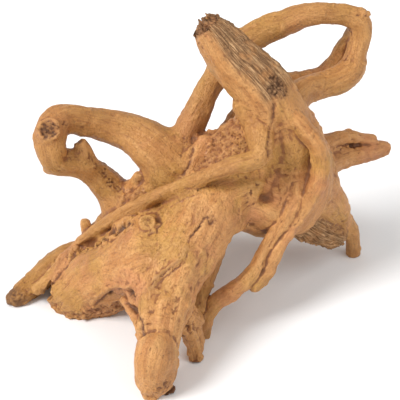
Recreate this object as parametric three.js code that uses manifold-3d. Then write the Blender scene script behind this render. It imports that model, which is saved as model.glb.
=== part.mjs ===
// A dry, sandblasted tree root: the broken stub of a trunk on a gnarled crown, with roots that
// spread, loop back and run down to the ground. It grew as one piece, so it is one solid.
// Millimetres, +Z up. The origin is under the middle of the root, on the surface it stands on.
import * as THREE from "three";
import { LoftGeometry } from "three/addons/geometries/LoftGeometry.js";
import { mergeVertices } from "three/addons/utils/BufferGeometryUtils.js";
import Module from "manifold-3d";

// Driving dimensions
const woodColour = 0xd09a5f;
const groundLevel = 0; // the feet are worn flat here
const ringSpacing = 0.95; // distance between a limb's rings, in limb radii
const shortestRingStep = 7.5;
const tipReach = 0.55; // a rounded tip stands this share of its radius past the route's end
const tipWidth = 0.55; // and its last ring has this share of the limb's radius
const waviness = 0.06; // how far a section strays from a plain ellipse
const belowGround = 60; // depth of the block that trims the feet

// Each limb is a route of [x, y, z, radius] from the crown outwards. flatten squeezes the section
// to a share of its radius along a direction, and cut leaves the far end square, as it was sawn.
const limbs = {
  // The broken trunk, leaning up and to the left.
  stub: {
    route: [
      [1, 48, 297, 14],
      [8, 47, 289, 19],
      [15, 45, 280, 21.5],
      [26, 42, 266, 24.5],
      [44, 38, 248, 27.5],
      [60, 34, 228, 29.5],
      [70, 31, 207, 31.5],
      [77, 29, 179, 33],
    ],
    cut: true,
  },
  // The crown under it, in overlapping masses.
  crownRight: {
    route: [
      [69, 36, 198, 28],
      [86, 36, 166, 33.5],
      [95, 35, 134, 37],
      [84, 29, 101, 37.5],
    ],
  },
  crownMiddle: {
    route: [
      [94, 33, 126, 36],
      [63, 19, 113, 40],
      [37, 9, 130, 35.5],
      [8, -4, 123, 30],
    ],
  },
  crownLeft: {
    route: [
      [34, 25, 141, 30.5],
      [-3, 29, 133, 26.5],
      [-39, 27, 117, 24.5],
      [-71, 23, 97, 22.5],
      [-92, 19, 77, 15.5],
    ],
  },
  // The pitted saddle in the angle between the trunk and the crown.
  pittedSaddle: {
    route: [
      [-25, 36, 146, 20.5],
      [0, 37, 157, 18.5],
      [23, 37, 165, 20.5],
      [47, 35, 183, 22],
      [59, 33, 189, 20],
    ],
    flatten: { along: [0, -0.6, 0.8], to: 0.8 },
  },
  // A thin root that kneels at the trunk's foot and runs down the left side.
  kneeRoot: {
    route: [
      [48, 27, 220, 19.5],
      [54, 11, 205, 14],
      [56, -9, 194, 12.5],
      [51, -20, 187, 10.5],
      [26, -25, 181, 8.5],
      [-3, -23, 166, 7],
      [-43, -13, 140, 6.5],
      [-79, -3, 112, 5.5],
      [-108, 6, 84, 5.5],
      [-126, 11, 64, 5],
    ],
  },
  kneeTail: {
    route: [
      [-124, 13, 62, 6.5],
      [-142, 5, 45, 7.5],
      [-158, -3, 29, 7.5],
      [-174, -12, 18, 6],
    ],
  },
  // The root that rises behind the trunk and arches over to the right, with a thinner one inside.
  archRoot: {
    route: [
      [-44, 25, 121, 21.5],
      [-34, 31, 142, 18.5],
      [-22, 41, 161, 15.5],
      [-9, 59, 183, 14],
      [8, 79, 211, 13],
      [25, 95, 233, 13.5],
      [45, 106, 247, 14.5],
      [65, 115, 255, 14],
      [84, 121, 260, 13.5],
      [99, 125, 265, 13],
      [114, 128, 267, 12.5],
      [131, 131, 265, 11.5],
      [147, 133, 263, 11.5],
      [160, 133, 256, 11.5],
      [163, 131, 243, 11.5],
      [160, 125, 227, 11.5],
      [155, 115, 211, 14.5],
      [143, 103, 205, 14.5],
      [123, 91, 204, 13],
      [102, 75, 206, 14],
      [84, 53, 199, 18],
    ],
  },
  archInner: {
    route: [
      [160, 137, 245, 8],
      [152, 140, 228, 9],
      [142, 140, 207, 10],
      [128, 135, 192, 10.5],
      [107, 125, 192, 10],
      [79, 115, 193, 10],
      [56, 105, 184, 8.5],
      [39, 95, 171, 8],
      [28, 81, 159, 10],
      [16, 57, 144, 14.5],
    ],
  },
  archFoot: {
    route: [
      [3, 35, 172, 7],
      [-4, 27, 163, 8],
      [-16, 15, 152, 8],
    ],
  },
  // The thick root that loops round at the left, with its sawn stub, prong and tip.
  earLoop: {
    route: [
      [-32, 33, 144, 28.5],
      [-50, 41, 161, 24.5],
      [-70, 51, 170, 19.5],
      [-94, 57, 174, 17.5],
      [-117, 53, 183, 16],
      [-133, 45, 192, 15],
      [-146, 35, 193, 16],
      [-152, 25, 185, 16.5],
      [-152, 19, 174, 16],
      [-147, 19, 159, 14.5],
      [-130, 25, 151, 13.5],
      [-113, 31, 137, 14],
      [-96, 33, 116, 17],
      [-85, 29, 97, 22],
      [-74, 23, 82, 23],
    ],
  },
  earStub: {
    route: [
      [-152, 31, 178, 14],
      [-152, 13, 200, 11.5],
    ],
    cut: true,
  },
  earProng: {
    route: [
      [-117, 27, 149, 10],
      [-120, 29, 163, 8.5],
      [-124, 30, 174, 6],
    ],
    cut: true,
  },
  earTip: {
    route: [
      [-150, 19, 159, 10],
      [-156, 18, 149, 4.5],
    ],
  },
  // The leg and the broad root at the lower left.
  leftLeg: {
    route: [
      [-95, 19, 70, 20],
      [-119, 25, 42, 16],
      [-146, 25, 30, 14.5],
      [-164, 18, 20, 14.5],
      [-179, 6, 11, 13],
      [-191, -7, 8, 11],
      [-199, -15, 7, 7.5],
    ],
  },
  plate: {
    route: [
      [11, -5, 124, 35],
      [-17, -15, 107, 32],
      [-51, -23, 87, 31.5],
      [-84, -25, 64, 29.5],
      [-114, -21, 42, 28],
      [-134, -19, 23, 23],
    ],
    flatten: { along: [0.1, -0.45, 0.85], to: 0.7 },
  },
  plateLobe: {
    route: [
      [-147, -10, 13, 17],
      [-141, -14, 2, 18],
      [-122, -21, 9, 20.5],
      [-103, -25, 16, 18],
      [-84, -27, 29, 15],
    ],
  },
  // The front leg, its side wall and its stubs.
  frontLeg: {
    route: [
      [5, -15, 122, 30],
      [-9, -45, 103, 27.5],
      [-25, -73, 84, 27.5],
      [-37, -99, 67, 25.5],
      [-41, -121, 58, 22.5],
      [-42, -133, 46, 19.5],
      [-45, -143, 29, 19],
      [-49, -149, 13, 17],
      [-51, -151, 3, 10.5],
    ],
  },
  apron: {
    route: [
      [1, -25, 114, 26],
      [-27, -47, 99, 22],
      [-47, -61, 79, 18],
      [-59, -69, 63, 12],
    ],
  },
  web: {
    route: [
      [-53, -31, 97, 20],
      [-62, -42, 87, 18],
      [-64, -55, 78, 16],
      [-63, -69, 71, 12.5],
      [-62, -81, 65, 8],
    ],
  },
  webLeft: {
    route: [
      [-48, -57, 94, 18.5],
      [-65, -49, 80, 18],
      [-82, -38, 64, 18],
      [-97, -29, 49, 18.5],
    ],
  },
  frontWall: {
    route: [
      [9, -19, 98, 17],
      [5, -35, 72, 12.5],
      [-1, -53, 53, 9],
      [-5, -69, 40, 8],
    ],
  },
  // Small broken stubs.
  roundStub: {
    route: [
      [-48, -17, 95, 9],
      [-55, -40, 126, 8.5],
    ],
    cut: true,
  },
  ball: {
    route: [
      [-44, -140, 51, 19.5],
      [-46, -145, 42, 20.5],
      [-48, -149, 29, 17.5],
      [-48, -151, 16, 14],
    ],
  },
  frontStub: {
    route: [
      [-38, -137, 24, 13.5],
      [-37, -144, 8, 9],
      [-35, -145, -2, 7],
    ],
  },
  sideStub: {
    route: [
      [-27, -93, 50, 18.5],
      [-13, -93, 32, 11],
      [-8, -96, 13, 8.5],
      [-7, -101, -1, 7],
    ],
  },
  sideKnob: {
    route: [
      [-19, -89, 51, 14],
      [-7, -89, 42, 9],
    ],
  },
  leftRidge: {
    route: [
      [-80, -71, 53, 3.5],
      [-73, -81, 54, 5],
      [-66, -95, 53, 6],
      [-60, -108, 48, 6.5],
      [-60, -119, 42, 5],
    ],
  },
  // Thin roots at the right that part and meet again.
  strandRight: {
    route: [
      [75, 21, 226, 10],
      [85, 15, 216, 9],
      [99, 7, 204, 9],
      [112, 1, 188, 9],
      [117, -1, 167, 9.5],
      [114, -5, 145, 10],
      [103, -9, 125, 9],
      [92, -15, 107, 7.5],
      [79, -23, 88, 7],
      [71, -33, 75, 7],
      [64, -39, 62, 8],
      [52, -47, 52, 8.5],
    ],
  },
  strandLeft: {
    route: [
      [101, 31, 152, 9],
      [97, 15, 143, 9.5],
      [95, 0, 136, 9.5],
      [92, -8, 126, 9.5],
      [83, -15, 112, 8.5],
      [69, -23, 93, 7],
      [60, -31, 80, 6.5],
      [53, -41, 69, 7.5],
      [43, -49, 59, 9],
      [32, -55, 53, 9],
      [22, -61, 48, 9],
      [12, -66, 43, 8],
      [6, -69, 31, 6.5],
      [3, -68, 17, 6],
      [2, -67, 3, 5],
    ],
  },
  edgeStrand: {
    route: [
      [86, 35, 214, 12],
      [99, 37, 194, 12.5],
      [110, 39, 173, 12.5],
      [118, 41, 147, 13.5],
      [126, 45, 118, 15.5],
    ],
  },
  // The crown's right end, the peg that hangs from it and the branches beside it.
  rightLobe: {
    route: [
      [94, 37, 123, 35],
      [119, 49, 97, 27],
      [135, 57, 75, 21],
      [149, 65, 49, 12.5],
      [157, 69, 36, 8.5],
    ],
  },
  rightPeg: {
    route: [
      [150, 65, 49, 12],
      [162, 71, 33, 9],
      [165, 73, 16, 8],
      [167, 73, -5, 7.5],
    ],
  },
  rightUnder: {
    route: [
      [82, 31, 94, 28],
      [104, 37, 73, 21.5],
      [125, 45, 54, 17],
      [143, 53, 41, 11.5],
    ],
  },
  rightBranch: {
    route: [
      [114, 61, 117, 19],
      [133, 83, 114, 14],
      [153, 99, 111, 11.5],
      [170, 107, 110, 10.5],
      [186, 115, 109, 10],
      [202, 121, 108, 7.5],
    ],
    cut: true,
  },
  rightBranchBack: {
    route: [
      [116, 71, 135, 12.5],
      [134, 89, 138, 8.5],
      [152, 103, 134, 7.5],
      [167, 111, 127, 7],
      [183, 117, 120, 7],
    ],
  },
  rightBranchLow: {
    route: [
      [121, 75, 128, 12.5],
      [145, 101, 120, 8.5],
      [161, 113, 117, 7.5],
      [177, 121, 113, 5.5],
    ],
  },
  // The legs behind.
  backLeg: {
    route: [
      [81, 61, 126, 31.5],
      [87, 96, 89, 21.5],
      [91, 131, 43, 15.5],
      [94, 155, 5, 12],
    ],
  },
  backLeft: {
    route: [
      [-24, 51, 107, 19],
      [-46, 76, 70, 14],
      [-69, 99, 35, 11],
      [-94, 119, 2, 9],
    ],
  },
  innerNub: {
    route: [
      [-71, 27, 122, 9],
      [-66, 24, 137, 4.5],
    ],
  },
  leftNub: {
    route: [
      [-116, 19, 59, 8.5],
      [-122, 18, 81, 5.5],
    ],
  },
  archNub: {
    route: [
      [159, 133, 256, 8.5],
      [167, 133, 268, 5.5],
    ],
    cut: true,
  },
};

// Sides of a limb's section: thin roots need fewer than the crown.
function sidesFor(radius) {
  if (radius < 8) return 7;
  if (radius < 14) return 9;
  return radius < 24 ? 11 : 13;
}

// The radius at share t of the way along the route, eased between the stated ones.
function radiusAt(route, t) {
  const place = Math.min(t, 1) * (route.length - 1);
  const first = Math.min(Math.floor(place), route.length - 2);
  const ease = THREE.MathUtils.smoothstep(place - first, 0, 1);
  return THREE.MathUtils.lerp(route[first][3], route[first + 1][3], ease);
}

// One ring of a limb: an uneven ellipse across the route.
function ring(centre, across, up, radius, sides, phase, flatten) {
  const points = [];
  for (let i = 0; i < sides; i++) {
    const angle = (i / sides) * Math.PI * 2;
    const bulge = 1 + waviness * Math.sin(2 * angle + phase) + waviness * Math.sin(3 * angle - 2 * phase);
    const offset = new THREE.Vector3()
      .addScaledVector(across, Math.cos(angle) * radius * bulge)
      .addScaledVector(up, Math.sin(angle) * radius * bulge);
    if (flatten) {
      const along = new THREE.Vector3(...flatten.along).normalize();
      offset.addScaledVector(along, -(1 - flatten.to) * offset.dot(along));
    }
    points.push(offset.add(centre));
  }
  return points;
}

// A limb as rings lofted along a smooth curve through its route.
function limbGeometry({ route, flatten, cut }, order) {
  const curve = new THREE.CatmullRomCurve3(
    route.map(([x, y, z]) => new THREE.Vector3(x, y, z)),
    false,
    "centripetal",
  );
  const widest = Math.max(...route.map((point) => point[3]));
  const usual = route.reduce((sum, point) => sum + point[3], 0) / route.length;
  const steps = Math.max(3, Math.round(curve.getLength() / Math.max(shortestRingStep, usual * ringSpacing)));
  const frames = curve.computeFrenetFrames(steps, false);
  const sides = sidesFor(widest);
  const rings = [];
  for (let i = 0; i <= steps; i++) {
    const share = i / steps;
    const radius = radiusAt(route, curve.getUtoTmapping(share));
    const phase = order + share * 5;
    rings.push(
      ring(curve.getPointAt(share), frames.normals[i], frames.binormals[i], radius, sides, phase, flatten),
    );
  }
  if (!cut) {
    const radius = route.at(-1)[3];
    const end = curve.getPointAt(1).addScaledVector(frames.tangents[steps], radius * tipReach);
    const phase = order + 5;
    rings.push(
      ring(end, frames.normals[steps], frames.binormals[steps], radius * tipWidth, sides, phase, flatten),
    );
  }
  return new LoftGeometry(rings, { capStart: true, capEnd: true });
}

const wasm = await Module();
wasm.setup();

// A closed geometry as a manifold-3d solid.
function solidOf(geometry) {
  const bare = new THREE.BufferGeometry();
  bare.setAttribute("position", geometry.getAttribute("position"));
  bare.setIndex(geometry.getIndex());
  const merged = mergeVertices(bare, 1e-4);
  const solid = new wasm.Manifold(
    new wasm.Mesh({
      numProp: 3,
      vertProperties: merged.attributes.position.array,
      triVerts: new Uint32Array(merged.index.array),
    }),
  );
  return solid;
}

// A manifold-3d solid as a three.js geometry.
function geometryOf(solid) {
  const { vertProperties, triVerts } = solid.getMesh();
  const geometry = new THREE.BufferGeometry();
  geometry.setAttribute("position", new THREE.BufferAttribute(vertProperties, 3));
  geometry.setIndex(new THREE.BufferAttribute(triVerts, 1));
  geometry.computeVertexNormals();
  return geometry;
}

// All the limbs grown together, with the feet trimmed level.
function grownTogether() {
  const solids = Object.values(limbs).map((limb, order) => solidOf(limbGeometry(limb, order)));
  const joined = solids.reduce((whole, solid) => whole.add(solid));
  const size = new THREE.Box3().setFromBufferAttribute(geometryOf(joined).attributes.position);
  const span = size.getSize(new THREE.Vector3()).length();
  const ground = new THREE.BoxGeometry(2 * span, 2 * span, belowGround);
  ground.translate(0, 0, groundLevel - belowGround / 2);
  return joined.subtract(solidOf(ground));
}

const wood = new THREE.MeshStandardMaterial({ color: woodColour, roughness: 0.62, metalness: 0 });
const dryRoot = new THREE.Mesh(geometryOf(grownTogether()), wood);
dryRoot.name = "dry_root";

const part = new THREE.Group();
part.add(dryRoot);

export default part;
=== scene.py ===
import math
import bpy
import numpy as np
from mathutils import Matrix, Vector


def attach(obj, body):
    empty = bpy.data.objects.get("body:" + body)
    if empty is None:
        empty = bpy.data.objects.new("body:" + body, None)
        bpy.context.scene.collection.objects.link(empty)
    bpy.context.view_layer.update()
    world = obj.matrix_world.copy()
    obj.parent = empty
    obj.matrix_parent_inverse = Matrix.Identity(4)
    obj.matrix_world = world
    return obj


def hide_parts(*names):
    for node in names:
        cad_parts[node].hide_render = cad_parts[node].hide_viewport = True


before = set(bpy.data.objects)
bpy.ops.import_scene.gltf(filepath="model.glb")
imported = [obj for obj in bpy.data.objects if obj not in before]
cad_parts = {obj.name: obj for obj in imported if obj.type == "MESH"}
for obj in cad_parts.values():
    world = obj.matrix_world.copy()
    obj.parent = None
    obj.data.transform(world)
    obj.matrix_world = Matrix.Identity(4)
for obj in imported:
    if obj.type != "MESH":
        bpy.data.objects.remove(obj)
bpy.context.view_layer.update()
print("frame loaded")

mm = 0.001


def deselectAll():
    bpy.ops.object.select_all(action="DESELECT")


def makeActive(piece):
    deselectAll()
    piece.select_set(True)
    bpy.context.view_layer.objects.active = piece


noiseTable = np.random.default_rng(7).permutation(256).astype(np.int64)
noiseTable = np.concatenate([noiseTable, noiseTable])
noiseWays = np.random.default_rng(8).normal(size=(256, 3))
noiseWays = (noiseWays / np.linalg.norm(noiseWays, axis=1)[:, None]).astype(np.float32)


def gradientNoise(places, seed):
    # smooth noise about 0, roughly -1 to 1, one cell per unit
    corners = np.floor(places)
    within = (places - corners).astype(np.float32)
    corners = (corners.astype(np.int64) + seed * 37) & 255
    ease = within * within * within * (within * (within * 6 - 15) + 10)
    fades = (1 - ease, ease)
    total = np.zeros(len(places), np.float32)
    for cornerX in (0, 1):
        mixedX = noiseTable[corners[:, 0] + cornerX]
        for cornerY in (0, 1):
            mixedY = noiseTable[mixedX + corners[:, 1] + cornerY & 255]
            for cornerZ in (0, 1):
                ways = noiseWays[noiseTable[mixedY + corners[:, 2] + cornerZ & 255]]
                push = ((within - np.float32((cornerX, cornerY, cornerZ))) * ways).sum(1)
                total += push * fades[cornerX][:, 0] * fades[cornerY][:, 1] * fades[cornerZ][:, 2]
    return total * 1.6


def layeredNoise(places, seed, layers):
    total = np.zeros(len(places))
    share = 1.0
    for layer in range(layers):
        total += share * gradientNoise(places * 2 ** layer, seed + layer)
        share *= 0.5
    return total


def softStep(low, high, values):
    share = np.clip((values - low) / (high - low), 0, 1)
    return share * share * (3 - 2 * share)


# Each limb is a route of (x, y, z, radius) in millimetres, from the crown outwards, as the frame has it.
# blend is how far it flows into what it grows from, and rough how gnarled its surface is.
limbs = {
    "stub": {"blend": 0, "rough": 0.35, "cut": "start", "route": [
        (1, 48, 297, 14), (8, 47, 289, 19), (15, 45, 280, 21.5), (26, 42, 266, 24.5),
        (44, 38, 248, 27.5), (60, 34, 228, 29.5), (70, 31, 207, 31.5), (77, 29, 179, 33),
    ]},
    "crownRight": {"blend": 14, "rough": 0.35, "route": [
        (69, 36, 198, 28), (86, 36, 166, 33.5), (95, 35, 134, 37), (84, 29, 101, 37.5),
    ]},
    "crownMiddle": {"blend": 14, "rough": 0.35, "route": [
        (94, 33, 126, 36), (63, 19, 113, 40), (37, 9, 130, 35.5), (8, -4, 123, 30),
    ]},
    "crownLeft": {"blend": 12, "rough": 1, "route": [
        (34, 25, 141, 30.5), (-3, 29, 133, 26.5), (-39, 27, 117, 24.5), (-71, 23, 97, 22.5),
        (-92, 19, 77, 15.5),
    ]},
    "pittedSaddle": {"blend": 12, "rough": 1.2, "flatten": (0, -0.6, 0.8), "flatTo": 0.8, "route": [
        (-25, 36, 146, 20.5), (0, 37, 157, 18.5), (23, 37, 165, 20.5), (47, 35, 183, 22),
        (59, 33, 189, 20),
    ]},
    "rightHollow": {"blend": 8, "rough": 0.6, "carve": True, "route": [
        (78, -7, 220, 8.5), (79, -10, 190, 12.5), (76, -11, 158, 13), (66, -17, 138, 9),
    ]},
    "kneeRoot": {"blend": 3, "rough": 0.4, "route": [
        (48, 27, 220, 19.5), (54, 11, 205, 14), (56, -9, 194, 12.5), (51, -20, 187, 10.5),
        (26, -25, 181, 8.5), (-3, -23, 166, 7), (-43, -13, 140, 6.5), (-79, -3, 112, 5.5),
        (-108, 6, 84, 5.5), (-126, 11, 64, 5),
    ]},
    "kneeTail": {"blend": 3, "rough": 0.8, "route": [
        (-124, 13, 62, 6.5), (-142, 5, 45, 7.5), (-158, -3, 29, 7.5), (-174, -12, 18, 6),
    ]},
    "archRoot": {"blend": 6, "rough": 0.5, "route": [
        (-44, 25, 121, 21.5), (-34, 31, 142, 18.5), (-22, 41, 161, 15.5), (-9, 59, 183, 14),
        (8, 79, 211, 13), (25, 95, 233, 13.5), (45, 106, 247, 14.5), (65, 115, 255, 14),
        (84, 121, 260, 13.5), (99, 125, 265, 13), (114, 128, 267, 12.5), (131, 131, 265, 11.5),
        (147, 133, 263, 11.5), (160, 133, 256, 11.5), (163, 131, 243, 11.5), (160, 125, 227, 11.5),
        (155, 115, 211, 14.5), (143, 103, 205, 14.5), (123, 91, 204, 13), (102, 75, 206, 14),
        (84, 53, 199, 18),
    ]},
    "archInner": {"blend": 4, "rough": 0.7, "route": [
        (160, 137, 245, 8), (152, 140, 228, 9), (142, 140, 207, 10), (128, 135, 192, 10.5),
        (107, 125, 192, 10), (79, 115, 193, 10), (56, 105, 184, 8.5), (39, 95, 171, 8),
        (28, 81, 159, 10), (16, 57, 144, 14.5),
    ]},
    "archFoot": {"blend": 4, "rough": 0.6, "route": [
        (3, 35, 172, 7), (-4, 27, 163, 8), (-16, 15, 152, 8),
    ]},
    "archCrease": {"blend": 1.5, "rough": 0.6, "carve": True, "route": [
        (-10, 31, 179, 2), (-11, 23, 169, 2.5), (-17, 10, 158, 2),
    ]},
    "earLoop": {"blend": 10, "rough": 0.45, "route": [
        (-32, 33, 144, 28.5), (-50, 41, 161, 24.5), (-70, 51, 170, 19.5), (-94, 57, 174, 17.5),
        (-117, 53, 183, 16), (-133, 45, 192, 15), (-146, 35, 193, 16), (-152, 25, 185, 16.5),
        (-152, 19, 174, 16), (-147, 19, 159, 14.5), (-130, 25, 151, 13.5), (-113, 31, 137, 14),
        (-96, 33, 116, 17), (-85, 29, 97, 22), (-74, 23, 82, 23),
    ]},
    "earStub": {"blend": 5, "rough": 0.6, "cut": "end", "route": [
        (-152, 31, 178, 14), (-152, 13, 200, 11.5),
    ]},
    "earProng": {"blend": 7, "rough": 0.6, "cut": "end", "route": [
        (-117, 27, 149, 10), (-120, 29, 163, 8.5), (-124, 30, 174, 6),
    ]},
    "earTip": {"blend": 7, "rough": 0.7, "route": [
        (-150, 19, 159, 10), (-156, 18, 149, 4.5),
    ]},
    "leftLeg": {"blend": 7, "rough": 0.6, "route": [
        (-95, 19, 70, 20), (-119, 25, 42, 16), (-146, 25, 30, 14.5), (-164, 18, 20, 14.5),
        (-179, 6, 11, 13), (-191, -7, 8, 11), (-199, -15, 7, 7.5),
    ]},
    "plate": {"blend": 14, "rough": 0.4, "flatten": (0.1, -0.45, 0.85), "flatTo": 0.7, "route": [
        (11, -5, 124, 35), (-17, -15, 107, 32), (-51, -23, 87, 31.5), (-84, -25, 64, 29.5),
        (-114, -21, 42, 28), (-134, -19, 23, 23),
    ]},
    "plateLobe": {"blend": 12, "rough": 1.1, "route": [
        (-147, -10, 13, 17), (-141, -14, 2, 18), (-122, -21, 9, 20.5), (-103, -25, 16, 18),
        (-84, -27, 29, 15),
    ]},
    "frontLeg": {"blend": 20, "rough": 0.6, "route": [
        (5, -15, 122, 30), (-9, -45, 103, 27.5), (-25, -73, 84, 27.5), (-37, -99, 67, 25.5),
        (-41, -121, 58, 22.5), (-42, -133, 46, 19.5), (-45, -143, 29, 19), (-49, -149, 13, 17),
        (-51, -151, 3, 10.5),
    ]},
    "apron": {"blend": 26, "rough": 0.5, "route": [
        (1, -25, 114, 26), (-27, -47, 99, 22), (-47, -61, 79, 18), (-59, -69, 63, 12),
    ]},
    "web": {"blend": 20, "rough": 0.5, "route": [
        (-53, -31, 97, 20), (-62, -42, 87, 18), (-64, -55, 78, 16), (-63, -69, 71, 12.5),
        (-62, -81, 65, 8),
    ]},
    "webLeft": {"blend": 20, "rough": 0.4, "route": [
        (-48, -57, 94, 18.5), (-65, -49, 80, 18), (-82, -38, 64, 18), (-97, -29, 49, 18.5),
    ]},
    "frontWall": {"blend": 14, "rough": 0.7, "route": [
        (9, -19, 98, 17), (5, -35, 72, 12.5), (-1, -53, 53, 9), (-5, -69, 40, 8),
    ]},
    "wallHollow": {"blend": 8, "rough": 0.6, "carve": True, "route": [
        (10, -85, 133, 14.5), (5, -93, 113, 14.5), (0, -97, 88, 11.5),
    ]},
    "underKnee": {"blend": 2.5, "rough": 0.6, "carve": True, "route": [
        (-131, 5, 58, 3.5), (-119, 2, 65, 5), (-105, -11, 81, 5.5), (-93, -13, 88, 6.5),
        (-83, -11, 95, 8.5), (-73, -12, 103, 7.5), (-63, -12, 110, 4.5),
    ]},
    "crownHollow": {"blend": 5, "rough": 0.6, "carve": True, "route": [
        (40, -79, 118, 14.5), (40, -39, 93, 16), (40, -9, 71, 15.5), (41, 21, 50, 12.5),
    ]},
    "knuckleOne": {"blend": 2, "rough": 0.8, "route": [
        (-124, 0, 59, 3.5), (-122, -3, 71, 2.5),
    ]},
    "knuckleTwo": {"blend": 2, "rough": 0.8, "route": [
        (-116, -6, 66, 4), (-113, -9, 79, 3),
    ]},
    "knuckleThree": {"blend": 2, "rough": 0.8, "route": [
        (-107, -14, 76, 4), (-104, -17, 89, 3),
    ]},
    "knuckleFour": {"blend": 2, "rough": 0.8, "route": [
        (-98, -20, 85, 3.5), (-96, -22, 95, 2.5),
    ]},
    "knuckleFive": {"blend": 2, "rough": 0.8, "route": [
        (-90, -22, 89, 4), (-87, -23, 98, 3),
    ]},
    "knuckleSix": {"blend": 2, "rough": 0.8, "route": [
        (-82, -24, 93, 4), (-79, -24, 99, 3),
    ]},
    "thorn": {"blend": 2, "rough": 0.4, "route": [
        (-70, -25, 95, 4.5), (-70, -28, 108, 3), (-70, -30, 122, 1.5),
    ]},
    "roundStub": {"blend": 2, "rough": 0.5, "cut": "end", "route": [
        (-48, -17, 95, 9), (-55, -40, 126, 8.5),
    ]},
    "ball": {"blend": 3, "rough": 0.35, "route": [
        (-44, -140, 51, 19.5), (-46, -145, 42, 20.5), (-48, -149, 29, 17.5), (-48, -151, 16, 14),
    ]},
    "frontStub": {"blend": 5, "rough": 1.2, "route": [
        (-38, -137, 24, 13.5), (-37, -144, 8, 9), (-35, -145, -2, 7),
    ]},
    "sideStub": {"blend": 6, "rough": 1, "route": [
        (-27, -93, 50, 18.5), (-13, -93, 32, 11), (-8, -96, 13, 8.5), (-7, -101, -1, 7),
    ]},
    "sideKnob": {"blend": 6, "rough": 0.6, "route": [
        (-19, -89, 51, 14), (-7, -89, 42, 9),
    ]},
    "leftRidge": {"blend": 3, "rough": 0.9, "route": [
        (-80, -71, 53, 3.5), (-73, -81, 54, 5), (-66, -95, 53, 6), (-60, -108, 48, 6.5),
        (-60, -119, 42, 5),
    ]},
    "strandRight": {"blend": 4, "rough": 0.7, "route": [
        (75, 21, 226, 10), (85, 15, 216, 9), (99, 7, 204, 9), (112, 1, 188, 9), (117, -1, 167, 9.5),
        (114, -5, 145, 10), (103, -9, 125, 9), (92, -15, 107, 7.5), (79, -23, 88, 7), (71, -33, 75, 7),
        (64, -39, 62, 8), (52, -47, 52, 8.5),
    ]},
    "strandLeft": {"blend": 2, "rough": 0.7, "route": [
        (101, 31, 152, 9), (97, 15, 143, 9.5), (95, 0, 136, 9.5), (92, -8, 126, 9.5),
        (83, -15, 112, 8.5), (69, -23, 93, 7), (60, -31, 80, 6.5), (53, -41, 69, 7.5),
        (43, -49, 59, 9), (32, -55, 53, 9), (22, -61, 48, 9), (12, -66, 43, 8), (6, -69, 31, 6.5),
        (3, -68, 17, 6), (2, -67, 3, 5),
    ]},
    "edgeStrand": {"blend": 6, "rough": 0.7, "route": [
        (86, 35, 214, 12), (99, 37, 194, 12.5), (110, 39, 173, 12.5), (118, 41, 147, 13.5),
        (126, 45, 118, 15.5),
    ]},
    "rightLobe": {"blend": 10, "rough": 0.7, "route": [
        (94, 37, 123, 35), (119, 49, 97, 27), (135, 57, 75, 21), (149, 65, 49, 12.5),
        (157, 69, 36, 8.5),
    ]},
    "rightPeg": {"blend": 5, "rough": 0.5, "route": [
        (150, 65, 49, 12), (162, 71, 33, 9), (165, 73, 16, 8), (167, 73, -5, 7.5),
    ]},
    "rightUnder": {"blend": 5, "rough": 1.2, "route": [
        (82, 31, 94, 28), (104, 37, 73, 21.5), (125, 45, 54, 17), (143, 53, 41, 11.5),
    ]},
    "rightBranch": {"blend": 5, "rough": 0.7, "cut": "end", "route": [
        (114, 61, 117, 19), (133, 83, 114, 14), (153, 99, 111, 11.5), (170, 107, 110, 10.5),
        (186, 115, 109, 10), (202, 121, 108, 7.5),
    ]},
    "rightBranchBack": {"blend": 3, "rough": 0.8, "route": [
        (116, 71, 135, 12.5), (134, 89, 138, 8.5), (152, 103, 134, 7.5), (167, 111, 127, 7),
        (183, 117, 120, 7),
    ]},
    "rightBranchLow": {"blend": 2, "rough": 0.9, "route": [
        (121, 75, 128, 12.5), (145, 101, 120, 8.5), (161, 113, 117, 7.5), (177, 121, 113, 5.5),
    ]},
    "backLeg": {"blend": 16, "rough": 0.7, "route": [
        (81, 61, 126, 31.5), (87, 96, 89, 21.5), (91, 131, 43, 15.5), (94, 155, 5, 12),
    ]},
    "backLeft": {"blend": 12, "rough": 0.7, "route": [
        (-24, 51, 107, 19), (-46, 76, 70, 14), (-69, 99, 35, 11), (-94, 119, 2, 9),
    ]},
    "innerNub": {"blend": 4, "rough": 0.8, "route": [
        (-71, 27, 122, 9), (-66, 24, 137, 4.5),
    ]},
    "leftNub": {"blend": 3, "rough": 0.6, "route": [
        (-116, 19, 59, 8.5), (-122, 18, 81, 5.5),
    ]},
    "archNub": {"blend": 3, "rough": 0.9, "cut": "end", "route": [
        (159, 133, 256, 8.5), (167, 133, 268, 5.5),
    ]},
    "rearFill": {"blend": 8, "rough": 0.6, "route": [
        (-19, 38, 129, 20), (-23, 52, 119, 20), (-34, 64, 101, 16.5)]},
}

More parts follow.
